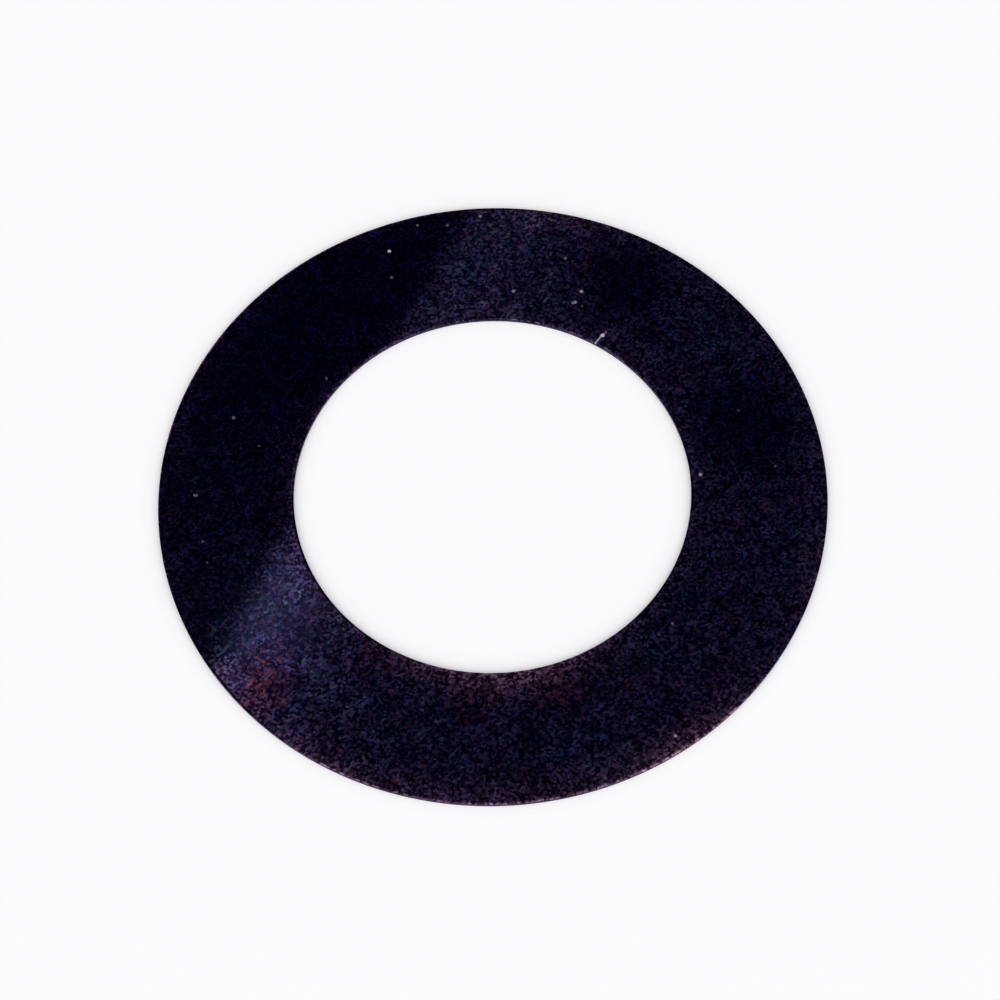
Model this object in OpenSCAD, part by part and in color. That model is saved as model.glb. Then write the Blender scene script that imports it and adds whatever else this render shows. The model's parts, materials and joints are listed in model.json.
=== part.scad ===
// Flat shim washer, blanked and pierced from hard rolled spring steel in one press stroke.
// The side that the die drew down lies upwards, and the torn side rests on the surface.
// The origin is the centre of the bore, level with the lower face.

/* [Ring] */
// Outside diameter of the ring
outer_d = 17; // [14:0.1:30]
// Diameter of the shaft that the ring slides over
shaft_d = 10; // [5:0.1:11]
// Play between the shaft and the bore, across the diameter
bore_play = 0.1; // [0:0.01:0.3]
// Thickness of the rolled strip
strip_t = 0.15; // [0.1:0.01:0.5]

/* [Sheared edges] */
// Width of the band that the die draws down along each upper edge
roll_w = 0.06; // [0.04:0.005:0.2]
// Depth of that band where it meets the wall
roll_h = 0.015; // [0.005:0.005:0.04]
// Height of the smooth, burnished band of each wall
burnish_h = 0.05; // [0.02:0.005:0.055]
// How far each wall leans back from its burnished band to its foot
tear_lean = 0.01; // [0:0.001:0.02]

/* [Hidden] */
$fn = 360;

outer_r = outer_d / 2;
bore_r = (shaft_d + bore_play) / 2;
// An arc of this radius leaves the flat face level and falls roll_h over roll_w.
roll_r = (roll_w * roll_w + roll_h * roll_h) / (2 * roll_h);
// The burnished band ends here, and the torn part of the wall begins.
tear_z = strip_t - roll_h - burnish_h;

// Section of the strip between its two sheared walls, with a square upper face.
module sheared_strip() {
    polygon([
        [bore_r + tear_lean, 0],
        [outer_r - tear_lean, 0],
        [outer_r, tear_z],
        [outer_r, strip_t],
        [bore_r, strip_t],
        [bore_r, tear_z]
    ]);
}

// Everything under the upper face: level between the two bands, and round over each of them.
module under_rolled_face() {
    inner_x = bore_r + roll_w;
    outer_x = outer_r - roll_w;
    for (x = [inner_x, outer_x]) {
        translate([x, strip_t - roll_r]) circle(r = roll_r);
    }
    translate([inner_x, 0]) square([outer_x - inner_x, strip_t]);
    // Below the bands the section keeps its full width, however tight their arcs are.
    square([outer_d, strip_t - roll_h]);
}

module shim_washer() {
    color("#2a2541")
    rotate_extrude() {
        intersection() {
            sheared_strip();
            under_rolled_face();
        }
    }
}

shim_washer();
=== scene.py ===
import json
import math

import bmesh
import bpy
from mathutils import Matrix, Vector


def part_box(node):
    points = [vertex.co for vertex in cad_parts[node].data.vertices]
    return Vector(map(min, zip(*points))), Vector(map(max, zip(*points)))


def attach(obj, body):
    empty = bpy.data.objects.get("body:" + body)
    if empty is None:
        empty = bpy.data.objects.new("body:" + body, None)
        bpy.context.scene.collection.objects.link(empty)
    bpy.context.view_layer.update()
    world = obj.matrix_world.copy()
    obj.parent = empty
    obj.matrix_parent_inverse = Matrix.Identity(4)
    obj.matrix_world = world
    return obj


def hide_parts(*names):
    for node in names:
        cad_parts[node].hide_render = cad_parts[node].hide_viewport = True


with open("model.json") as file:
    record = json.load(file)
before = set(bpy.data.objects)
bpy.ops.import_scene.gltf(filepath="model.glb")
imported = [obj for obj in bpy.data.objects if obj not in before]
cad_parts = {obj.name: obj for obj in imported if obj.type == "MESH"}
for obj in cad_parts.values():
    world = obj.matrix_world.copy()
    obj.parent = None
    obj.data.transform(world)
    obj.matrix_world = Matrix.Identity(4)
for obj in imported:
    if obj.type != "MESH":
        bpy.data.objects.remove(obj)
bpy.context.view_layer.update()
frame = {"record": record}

# The ring: one flat washer of hard rolled spring steel, 0.15 mm thick. One press stroke blanks its
# outside and pierces its bore, so both upper edges are drawn down in a round, and each wall has a
# smooth band above a torn one. Heating then turns it blue-black.
MM = 0.001
low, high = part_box("shim_washer")
mounts = {mount["name"]: mount for mount in frame["record"]["mounts"]}
outer_r = (high.x - low.x) / 2 / MM
strip_t = (high.z - low.z) / MM
bore_r = mounts["bore"]["dims"]["r_mm"]
burnish_h = mounts["bore"]["dims"]["length_mm"]
roll_w = 0.06
roll_h = 0.015
tear_lean = 0.01
roll_steps = 6
hold_w = 0.01
face_loops = 12
ring_segments = 720

roll_r = (roll_w ** 2 + roll_h ** 2) / (2 * roll_h)
roll_turn = math.asin(roll_w / roll_r)
roll_z = strip_t - roll_h
tear_z = roll_z - burnish_h

# Half of the section, from the foot of a wall up to the level face: how far in, and how high. Its
# last point holds the face flat up to the round.
edge = [(tear_lean, 0), (0, tear_z)]
for step in range(roll_steps, -1, -1):
    turn = roll_turn * step / roll_steps
    edge.append((roll_w - roll_r * math.sin(turn), strip_t - roll_r * (1 - math.cos(turn))))
edge.append((roll_w + hold_w, strip_t))
face_start = bore_r + roll_w + hold_w
face_step = (outer_r - roll_w - hold_w - face_start) / face_loops
section = [(bore_r + inset, z) for inset, z in edge]
section += [(face_start + face_step * loop, strip_t) for loop in range(1, face_loops)]
section += [(outer_r - inset, z) for inset, z in reversed(edge)]
section.append(section[0])

# It is drawn in millimetres, loop after loop around the section, and brought to metres at the end.
weld_within = 0.002
bpy.ops.object.select_all(action="DESELECT")
loop_r, loop_z = section[0]
bpy.ops.mesh.primitive_circle_add(vertices=ring_segments, radius=loop_r, location=(0, 0, 0))
ring = bpy.context.object
ring.name = "blued_ring"
bpy.ops.object.mode_set(mode="EDIT")
bpy.ops.mesh.select_all(action="SELECT")
for next_r, next_z in section[1:]:
    bpy.ops.mesh.extrude_region_move(TRANSFORM_OT_translate={"value": (0, 0, next_z - loop_z)})
    widen = next_r / loop_r
    bpy.ops.transform.resize(value=(widen, widen, 1), center_override=(0, 0, 0))
    loop_r, loop_z = next_r, next_z
bpy.ops.mesh.select_all(action="SELECT")
bpy.ops.mesh.remove_doubles(threshold=weld_within)
bpy.ops.mesh.normals_make_consistent(inside=False)


def select_where(kind, test):
    """Selects the vertices, edges or faces of the mesh in hand whose points all pass the test."""
    bpy.ops.mesh.select_mode(type={"verts": "VERT", "edges": "EDGE", "faces": "FACE"}[kind])
    bpy.ops.mesh.select_all(action="DESELECT")
    mesh = bmesh.from_edit_mesh(ring.data)
    for part in getattr(mesh, kind):
        points = [part.co] if kind == "verts" else [vertex.co for vertex in part.verts]
        if all(test(point) for point in points):
            part.select_set(True)
    mesh.select_flush_mode()
    bmesh.update_edit_mesh(ring.data)


# Tumbling rounds the corner over each wall and the foot under it.
corner_r = 0.006
corner_segments = 4
corner_profile = 0.5
touch = 0.003
corners = [(bore_r, roll_z), (outer_r, roll_z), (bore_r + tear_lean, 0), (outer_r - tear_lean, 0)]


def on_a_corner(point):
    across = math.hypot(point.x, point.y)
    return any(abs(across - r) < touch and abs(point.z - z) < touch for r, z in corners)


select_where("edges", on_a_corner)
bpy.ops.mesh.bevel(offset=corner_r, segments=corner_segments, profile=corner_profile)

# A scratch runs outwards from the bore: a groove between three cuts, closed by a fourth.
scratch_start = Vector((2.815, 4.1, strip_t))
scratch_end = Vector((3.055, 4.395, strip_t))
scratch_w = 0.05
scratch_depth = 0.008
scratch_reach = 0.45
scratch_length = (scratch_end - scratch_start).length
scratch_run = (scratch_end - scratch_start).normalized()
scratch_side = Vector((-scratch_run.y, scratch_run.x, 0))


def near_scratch(point):
    return (point - scratch_start).length < scratch_reach and point.z > tear_z


def under_scratch(point):
    off = point - scratch_start
    inside_end = off.dot(scratch_run) < scratch_length - touch
    return near_scratch(point) and inside_end and abs(off.dot(scratch_side)) < touch


for offset in (-scratch_w / 2, 0, scratch_w / 2):
    select_where("faces", near_scratch)
    bpy.ops.mesh.bisect(plane_co=scratch_start + offset * scratch_side, plane_no=scratch_side)
select_where("faces", near_scratch)
bpy.ops.mesh.bisect(plane_co=scratch_end, plane_no=scratch_run)
select_where("verts", under_scratch)
bpy.ops.transform.translate(value=(0, 0, -scratch_depth))

smooth_below = math.radians(14)
bpy.ops.mesh.select_all(action="SELECT")
bpy.ops.transform.resize(value=(MM, MM, MM), center_override=(0, 0, 0))
bpy.ops.object.mode_set(mode="OBJECT")
bpy.ops.object.shade_smooth_by_angle(angle=smooth_below)


def linear(hex_colour):
    """An sRGB hex colour as linear red, green, blue and alpha."""
    parts = [int(hex_colour[at:at + 2], 16) / 255 for at in (1, 3, 5)]
    return (*(p / 12.92 if p <= 0.04045 else ((p + 0.055) / 1.055) ** 2.4 for p in parts), 1)


def add(tree, kind, inputs=None, out=0, tones=(), **settings):
    """Adds a node with its settings, gives its inputs values or links, and returns one output."""
    new = tree.nodes.new("ShaderNode" + kind)
    for name, value in settings.items():
        setattr(new, name, value)
    for name, value in (inputs or {}).items():
        if isinstance(value, bpy.types.NodeSocket):
            tree.links.new(value, new.inputs[name])
        else:
            new.inputs[name].default_value = value
    for number, (at, tone) in enumerate(tones):
        stops = new.color_ramp.elements
        stop = stops[number] if number < len(stops) else stops.new(at)
        stop.position = at
        stop.color = linear(tone)
    return new.outputs[out] if new.outputs else None


# Heat-blued spring steel: a thin oxide skin over rolled metal. It is nearly black, and its clear
# reflection takes the blue, violet and brown of the oxide.
steel = bpy.data.materials.new("heat_blued_spring_steel")
steel.use_nodes = True
tree = steel.node_tree
tree.nodes.clear()
place = add(tree, "TexCoord", out="Object")
place = add(tree, "VectorMath", {0: place, "Scale": 1 / MM}, operation="SCALE")
flat = add(tree, "VectorMath", {0: place, 1: (1, 1, 0)}, operation="MULTIPLY")
height = add(tree, "SeparateXYZ", {0: place}, out="Z")

# The oxide's crystals are far finer than this, and are drawn this coarse so that they show. Most are
# nearly black and only a few are bright, more in some clusters than in others. In one place, where
# the face mirrors the strip light, the grain is evened out: a painted sheen.
# Each place on the face below is given by x, y, size and share.
grain_mm = 0.062
grain_contrast = 2.4
grain_mean = 1 / (1 + grain_contrast)
cluster_mm = 0.35
cluster_detail = 1.0
cluster_noise = (0.25, 0.75)
cluster_gain = (0.45, 1.55)
sheen_evened_spots = [(-5.7, -3.2, 2.4, 0.45)]
grain = add(tree, "TexVoronoi", {"Vector": place, "Scale": 1 / grain_mm}, out="Color")
grain_tone = add(tree, "SeparateColor", {0: grain}, out="Red")
grain_hue = add(tree, "SeparateColor", {0: grain}, out="Green")
grain_light = add(tree, "Math", {0: grain_tone, 1: grain_contrast}, operation="POWER")
cluster = add(tree, "TexNoise", {"Vector": place, "Scale": 1 / cluster_mm, "Detail": cluster_detail})
cluster = add(
    tree, "MapRange",
    {
        "Value": cluster, "From Min": cluster_noise[0], "From Max": cluster_noise[1],
        "To Min": cluster_gain[0], "To Max": cluster_gain[1],
    },
)
grain_light = add(tree, "Math", {0: grain_light, 1: cluster}, operation="MULTIPLY")
# Where the face mirrors the strip light, the grain is evened out towards its mean: a painted sheen.
for x, y, size, share in sheen_evened_spots:
    reach = add(tree, "VectorMath", {0: flat, 1: (x, y, 0)}, out="Value", operation="DISTANCE")
    spot = add(
        tree, "MapRange", {"Value": reach, "From Max": size, "To Min": share, "To Max": 0.0},
        interpolation_type="SMOOTHSTEP",
    )
    grain_light = add(tree, "Mix", {0: spot, 2: grain_light, 3: grain_mean})

# Where it ran hotter the oxide passed from blue through violet to brown, in patches.
cloud_mm = 2.2
cloud_detail = 2.0
cloud_noise = (0.4, 0.7)
cloud_heat = 0.2
least_cool = 0.3
hot_spots = [
    (-5.8, -5.1, 1.2, 0.38), (-0.6, -5.5, 1.3, 0.45), (1.2, -5.4, 1.3, 0.45), (-3.2, -4.5, 1.2, 0.3),
]
oxide_black = linear("#07051c")
oxide_tints = [
    (0.0, "#5d2935"), (0.25, "#54354c"), (0.5, "#40386c"), (0.8, "#393e70"), (1.0, "#476660"),
]
cloud = add(tree, "TexNoise", {"Vector": place, "Scale": 1 / cloud_mm, "Detail": cloud_detail})
heat = add(
    tree, "MapRange",
    {
        "Value": cloud, "From Min": cloud_noise[0], "From Max": cloud_noise[1],
        "To Min": 0.0, "To Max": cloud_heat,
    },
)
for x, y, size, share in hot_spots:
    reach = add(tree, "VectorMath", {0: flat, 1: (x, y, 0)}, out="Value", operation="DISTANCE")
    spot = add(
        tree, "MapRange", {"Value": reach, "From Max": size, "To Min": share, "To Max": 0.0},
        interpolation_type="SMOOTHSTEP",
    )
    heat = add(tree, "Math", {0: heat, 1: spot}, operation="ADD")
coolness = add(tree, "MapRange", {"Value": grain_hue, "To Min": least_cool, "To Max": 1.0})
coolness = add(tree, "Math", {0: coolness, 1: heat}, operation="SUBTRACT")
tint = add(tree, "ValToRGB", {"Fac": coolness}, tones=oxide_tints)
oxide = add(
    tree, "Mix", {0: grain_light, 6: oxide_black, 7: tint}, out=2, data_type="RGBA",
    clamp_factor=False,
)

# Handling has rubbed the oxide thin along both edges to a pinkish grey, more in some places and less
# in one. This pale edge tone is also a painted highlight where the rims catch the light, most of all
# on the near edge of the bore and on the outer edge at the lower right.
rub_and_glint_mm = 1.2
rub_and_glint_fall = 2.6
rub_all_round = 0.08
# The first two spots, on the bore's near edge and the outer edge at the lower right, are painted rim
# highlight as well as wear.
rub_and_glint_spots = [
    (0.0, -5.1, 3.8, 1.1), (4.4, -7.2, 3.2, 0.85), (7.9, -2.6, 1.6, 0.2), (-4.0, -7.5, 2.4, 0.3),
    (0.0, -8.4, 4.5, 0.22), (-7.2, 4.0, 5.0, 0.35), (-2.6, 8.0, 2.4, 0.25), (2.4, 8.1, 1.4, 0.25),
    (-5.0, -1.6, 2.0, -0.08),
]
rub_and_glint_tones = [(0.0, "#2c1c2e"), (1.0, "#cc96b4")]
across = add(tree, "VectorMath", {0: flat}, out="Value", operation="LENGTH")
from_outside = add(tree, "Math", {0: outer_r, 1: across}, operation="SUBTRACT")
from_bore = add(tree, "Math", {0: across, 1: bore_r}, operation="SUBTRACT")
from_edge = add(tree, "Math", {0: from_outside, 1: from_bore}, operation="MINIMUM")
rub_and_glint = add(
    tree, "MapRange", {"Value": from_edge, "From Max": rub_and_glint_mm, "To Min": 1.0, "To Max": 0.0},
)
rub_and_glint = add(tree, "Math", {0: rub_and_glint, 1: rub_and_glint_fall}, operation="POWER")
rub_and_glint_share = rub_all_round
for x, y, size, share in rub_and_glint_spots:
    reach = add(tree, "VectorMath", {0: flat, 1: (x, y, 0)}, out="Value", operation="DISTANCE")
    spot = add(
        tree, "MapRange", {"Value": reach, "From Max": size, "To Min": share, "To Max": 0.0},
        interpolation_type="SMOOTHSTEP",
    )
    rub_and_glint_share = add(tree, "Math", {0: spot, 1: rub_and_glint_share}, operation="ADD")
rub_and_glint = add(tree, "Math", {0: rub_and_glint, 1: rub_and_glint_share}, operation="MULTIPLY", use_clamp=True)
# The pale tone laid on here is wear and painted rim highlight together.
pale = add(tree, "ValToRGB", {"Fac": grain_light}, tones=rub_and_glint_tones)
worn_and_glint = add(tree, "Mix", {0: rub_and_glint, 6: oxide, 7: pale}, out=2, data_type="RGBA")

# The lower part of each wall is torn, not cut, so it is dull.
torn_steel = linear("#4a434b")
torn_reach = 0.03
torn_low = add(
    tree, "MapRange",
    {
        "Value": height, "From Min": tear_z - tear_lean, "From Max": tear_z + tear_lean,
        "To Min": 1.0, "To Max": 0.0,
    },
)
torn_in = add(
    tree, "MapRange",
    {
        "Value": from_edge, "From Min": tear_lean, "From Max": torn_reach,
        "To Min": 1.0, "To Max": 0.0,
    },
)
torn = add(tree, "Math", {0: torn_low, 1: torn_in}, operation="MULTIPLY")
worn_and_glint = add(tree, "Mix", {0: torn, 6: worn_and_glint, 7: torn_steel}, out=2, data_type="RGBA")

# Specks where the oxide is chipped, and the scratch, show bare steel. A speck's last number is how
# bare it is.
bare_steel = linear("#f4f2ee")
scratch_bare = 0.6
flecks = [
    (-2.44, 7.28, 0.055, 1.0), (-2.4, 6.46, 0.055, 0.16), (-0.87, 8.01, 0.055, 0.14),
    (-1.67, 8.05, 0.045, 0.18), (-4.17, 3.49, 0.05, 0.09), (-6.58, 2.45, 0.055, 0.21),
    (-5.93, 1.59, 0.04, 0.09), (-7.57, 0.25, 0.045, 0.19), (-7.52, 0.25, 0.045, 0.19),
    (-7.35, -1.07, 0.045, 0.12), (-7.24, -1.67, 0.04, 0.1), (0.8, 5.86, 0.055, 0.39),
    (2.22, 6.8, 0.055, 0.22), (2.59, 5.75, 0.06, 0.5), (2.41, 5.43, 0.055, 0.41),
    (2.35, 5.41, 0.05, 0.34), (2.58, 5.31, 0.04, 0.08), (5.31, 0.16, 0.06, 0.46),
    (6.42, 1.96, 0.04, 0.07), (7.23, 0.3, 0.04, 0.07), (4.17, -6.94, 0.05, 0.37),
    (4.31, -3.95, 0.042, 0.17), (0.02, 8.24, 0.055, 0.28), (3.065, 4.385, 0.065, 1.0),
    (3.11, 4.43, 0.045, 0.32), (3.16, 4.48, 0.04, 0.13),
]
groove = add(
    tree, "Mapping",
    {
        "Vector": flat, "Location": (*((scratch_start + scratch_end) / 2).xy, 0),
        "Rotation": (0, 0, math.atan2(scratch_run.y, scratch_run.x)),
    },
    vector_type="TEXTURE",
)
groove = add(tree, "VectorMath", {0: groove}, operation="ABSOLUTE")
groove_along = add(tree, "SeparateXYZ", {0: groove}, out="X")
groove_side = add(tree, "SeparateXYZ", {0: groove}, out="Y")
groove_along = add(
    tree, "MapRange",
    {
        "Value": groove_along, "From Min": scratch_length / 2,
        "From Max": (scratch_length + scratch_w) / 2, "To Min": 1.0, "To Max": 0.0,
    },
)
groove_side = add(
    tree, "MapRange",
    {
        "Value": groove_side, "From Min": scratch_w / 4, "From Max": scratch_w / 2,
        "To Min": scratch_bare, "To Max": 0.0,
    },
)
bare = add(tree, "Math", {0: groove_side, 1: groove_along}, operation="MULTIPLY")
for x, y, size, share in flecks:
    reach = add(tree, "VectorMath", {0: flat, 1: (x, y, 0)}, out="Value", operation="DISTANCE")
    fleck = add(
        tree, "MapRange",
        {"Value": reach, "From Min": size / 2, "From Max": size, "To Min": share, "To Max": 0.0},
    )
    bare = add(tree, "Math", {0: bare, 1: fleck}, operation="MAXIMUM")
on_top = add(tree, "MapRange", {"Value": height, "From Min": tear_z, "From Max": roll_z})
bare = add(tree, "Math", {0: bare, 1: on_top}, operation="MULTIPLY")
skin = add(tree, "Mix", {0: bare, 6: worn_and_glint, 7: bare_steel}, out=2, data_type="RGBA")

# The oxide is as smooth as the rolled strip, and bare or torn steel is dull.
oxide_roughness = 0.04
dull_roughness = 0.6
bare_enough = 0.08
dull = add(tree, "MapRange", {"Value": bare, "From Max": bare_enough})
dull = add(tree, "Math", {0: dull, 1: torn}, operation="MAXIMUM")
roughness = add(
    tree, "MapRange", {"Value": dull, "To Min": oxide_roughness, "To Max": dull_roughness},
)

# The rolls leave a faint relief, drawn wider than it is.
relief_mm = 0.1
relief_depth = 0.00006
relief_detail = 1.0
relief = add(tree, "TexNoise", {"Vector": place, "Scale": 1 / relief_mm, "Detail": relief_detail})
surface = add(tree, "Bump", {"Height": relief, "Distance": relief_depth * MM})

# The oxide takes in light, so the ring stays dark where it is seen at a glancing angle.
glancing_tint = linear("#c8c8d8")
shader = add(
    tree, "BsdfPrincipled",
    {
        "Base Color": skin, "Metallic": 1.0, "Roughness": roughness, "Normal": surface,
        "Specular Tint": glancing_tint,
    },
)
add(tree, "OutputMaterial", {"Surface": shader})
ring.data.materials.append(steel)
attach(ring, "root")
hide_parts("shim_washer")

# The floor: a sheet of plain matt white paper that the ring lies on. It is lifted to white only where
# the camera sees it, straight or in a mirror or glass, so it needs no more light on the ring.
floor_size = 3.0
floor_lift = 0.165
paper_white = linear("#f6f6f6")
lift_white = linear("#ffffff")
bpy.ops.object.select_all(action="DESELECT")
bpy.ops.mesh.primitive_plane_add(size=floor_size, location=(0, 0, 0))
floor = bpy.context.object
floor.name = "paper_floor"
paper = bpy.data.materials.new("matt_white_paper")
paper.use_nodes = True
tree = paper.node_tree
tree.nodes.clear()
lift = 0.0
for ray in ("Is Camera Ray", "Is Glossy Ray", "Is Transmission Ray"):
    seen = add(tree, "LightPath", out=ray)
    lift = add(tree, "Math", {0: seen, 1: floor_lift, 2: lift}, operation="MULTIPLY_ADD")
shader = add(
    tree, "BsdfPrincipled",
    {
        "Base Color": paper_white, "Roughness": 1.0, "Specular IOR Level": 0.0,
        "Emission Color": lift_white, "Emission Strength": lift,
    },
)
add(tree, "OutputMaterial", {"Surface": shader})
floor.data.materials.append(paper)

# The camera: a long lens that looks down on the ring from the front, at 63 degrees to its face. It
# stands about nine outside radii away, and is turned a little about its own axis.
lens_mm = 101.42
camera_elevation = math.radians(62.97)
camera_roll = math.radians(-2.712)
camera_distance = 71.45 * MM
nearest = 1 * MM
aim = Vector((0.187, -0.294, strip_t)) * MM
away = Vector((0, -math.cos(camera_elevation), math.sin(camera_elevation)))
camera_at = aim + camera_distance * away
camera = bpy.data.objects.new("camera", bpy.data.cameras.new("camera"))
bpy.context.collection.objects.link(camera)
camera.data.lens = lens_mm
camera.data.clip_start = nearest
camera.matrix_world = (
    Matrix.Translation(camera_at)
    @ Matrix.Rotation(math.pi / 2 - camera_elevation, 4, "X")
    @ Matrix.Rotation(camera_roll, 4, "Z")
)
bpy.context.scene.camera = camera

# The studio: pale walls, and a dark ceiling with a strip light that the ring's face mirrors. A place
# on the ceiling is given by the millimetre of the ring's face on which the camera sees it.
world = bpy.data.worlds.new("studio")
bpy.context.scene.world = world
world.use_nodes = True
tree = world.node_tree
tree.nodes.clear()
direction = add(tree, "TexCoord", out="Generated")
forwards = add(tree, "SeparateXYZ", {0: direction}, out="Y")
upwards = add(tree, "SeparateXYZ", {0: direction}, out="Z")
rise = add(tree, "CombineXYZ", {0: upwards, 1: upwards, 2: upwards})
overhead = add(tree, "VectorMath", {0: direction, 1: rise}, operation="DIVIDE")
camera_height = camera_at.z / MM - strip_t
ceiling = add(
    tree, "VectorMath",
    {0: overhead, 1: (camera_height, camera_height, 0), 2: (*(camera_at / MM).xy, 0)},
    operation="MULTIPLY_ADD",
)

# The strip light has one sharp side, a bright line along it at the near end, and a soft far side.
# Each pair below is where a light starts and ends, in millimetres beside or along the strip.
strip_at = (-6.9, -4.5, 0)
strip_angle = math.radians(62.2)
sharp_span = (-0.22, 0.05)
line_span, line_light = (0.1, 2.0), 0.75
spill_span, spill_light = (1.0, 5.0), 0.12
near_end_span = (4.0, 9.0)
glow_span, glow_light = (1.2, 3.6), 0.2
strip = add(
    tree, "Mapping",
    {"Vector": ceiling, "Location": strip_at, "Rotation": (0, 0, strip_angle - math.pi / 2)},
    vector_type="TEXTURE",
)
beside = add(tree, "SeparateXYZ", {0: strip}, out="X")
along = add(tree, "SeparateXYZ", {0: strip}, out="Y")
sharp_side = add(
    tree, "MapRange", {"Value": beside, "From Min": sharp_span[0], "From Max": sharp_span[1]},
)
line = add(
    tree, "MapRange",
    {
        "Value": beside, "From Min": line_span[0], "From Max": line_span[1],
        "To Min": line_light, "To Max": 0.0,
    },
    interpolation_type="SMOOTHSTEP",
)
spill = add(
    tree, "MapRange",
    {
        "Value": beside, "From Min": spill_span[0], "From Max": spill_span[1],
        "To Min": spill_light, "To Max": 0.0,
    },
    interpolation_type="SMOOTHSTEP",
)
line = add(tree, "Math", {0: line, 1: spill}, operation="ADD")
near_end = add(
    tree, "MapRange",
    {
        "Value": along, "From Min": near_end_span[0], "From Max": near_end_span[1],
        "To Min": 1.0, "To Max": 0.0,
    },
    interpolation_type="SMOOTHSTEP",
)
glow = add(
    tree, "MapRange",
    {
        "Value": beside, "From Min": glow_span[0], "From Max": glow_span[1],
        "To Min": glow_light, "To Max": 0.0,
    },
    interpolation_type="SMOOTHSTEP",
)
light = add(tree, "Math", {0: line, 1: near_end, 2: glow}, operation="MULTIPLY_ADD")

# The ceiling beyond its sharp side is a little paler, apart from two dark panels: their place, where
# they begin to fade and end, and how much light they leave. It is paler again above the camera.
right_span, right_light = (1.0, 4.0), (0.08, 0.11)
near_span, near_light = (-1.0, 4.0), 0.04
dark_panels = [(3.9, 5.9, 0.6, 1.4, 0.05), (6.6, 1.6, 0.8, 2.0, 0.1)]
above_span, above_light = (-34.0, -8.0), 0.2
dark_ceiling = linear("#2c284c")
strip_white = linear("#fafaf0")
ceiling_y = add(tree, "SeparateXYZ", {0: ceiling}, out="Y")
pale_right = add(
    tree, "MapRange",
    {
        "Value": ceiling_y, "From Min": right_span[0], "From Max": right_span[1],
        "To Min": right_light[0], "To Max": right_light[1],
    },
)
light = add(tree, "Math", {0: light, 1: pale_right}, operation="ADD")
light = add(tree, "Math", {0: light, 1: sharp_side}, operation="MULTIPLY")
pale_near = add(
    tree, "MapRange",
    {
        "Value": ceiling_y, "From Min": near_span[0], "From Max": near_span[1],
        "To Min": near_light, "To Max": 0.0,
    },
)
light = add(tree, "Math", {0: light, 1: pale_near}, operation="ADD")
for x, y, inside, outside, share in dark_panels:
    reach = add(tree, "VectorMath", {0: ceiling, 1: (x, y, 0)}, out="Value", operation="DISTANCE")
    panel = add(
        tree, "MapRange",
        {"Value": reach, "From Min": inside, "From Max": outside, "To Min": share, "To Max": 1.0},
        interpolation_type="SMOOTHSTEP",
    )
    light = add(tree, "Math", {0: light, 1: panel}, operation="MULTIPLY")
pale_above = add(
    tree, "MapRange",
    {
        "Value": ceiling_y, "From Min": above_span[0], "From Max": above_span[1],
        "To Min": above_light, "To Max": 0.0,
    },
)
light = add(tree, "Math", {0: light, 1: pale_above}, operation="ADD")
lit_ceiling = add(
    tree, "Mix", {0: light, 6: dark_ceiling, 7: strip_white}, out=2, data_type="RGBA",
)

# The walls are paler behind the camera, and end between these two heights above the floor.
wall_low = math.radians(36)
wall_high = math.radians(56)
wall_turn_span = (-0.2, 0.45)
back_wall = linear("#c9c9c9")
front_wall = linear("#8a8a8c")
studio_strength = 1.54
wall_turn = add(
    tree, "MapRange",
    {"Value": forwards, "From Min": wall_turn_span[0], "From Max": wall_turn_span[1]},
)
walls = add(tree, "Mix", {0: wall_turn, 6: back_wall, 7: front_wall}, out=2, data_type="RGBA")
wall_top = add(
    tree, "MapRange",
    {"Value": upwards, "From Min": math.sin(wall_low), "From Max": math.sin(wall_high)},
    interpolation_type="SMOOTHSTEP",
)
studio = add(tree, "Mix", {0: wall_top, 6: walls, 7: lit_ceiling}, out=2, data_type="RGBA")
background = add(tree, "Background", {"Color": studio, "Strength": studio_strength})
add(tree, "OutputWorld", {"Surface": background})

# The key light: a large softbox behind the camera, turned to the ring. It is wide and dim, so that
# the ring keeps its dark colour where it mirrors it.
key_w = 3.0
key_d = 1.4
key_distance = 1.0
key_elevation = math.radians(48)
key_radiance = 0.9
key = bpy.data.objects.new("key_softbox", bpy.data.lights.new("key_softbox", "AREA"))
bpy.context.collection.objects.link(key)
key.data.shape = "RECTANGLE"
key.data.size = key_w
key.data.size_y = key_d
key.data.energy = key_radiance * math.pi * key_w * key_d
key.location = (0, -key_distance * math.cos(key_elevation), key_distance * math.sin(key_elevation))
key.rotation_euler = (math.pi / 2 - key_elevation, 0, 0)

bpy.context.scene.view_settings.view_transform = "Standard"
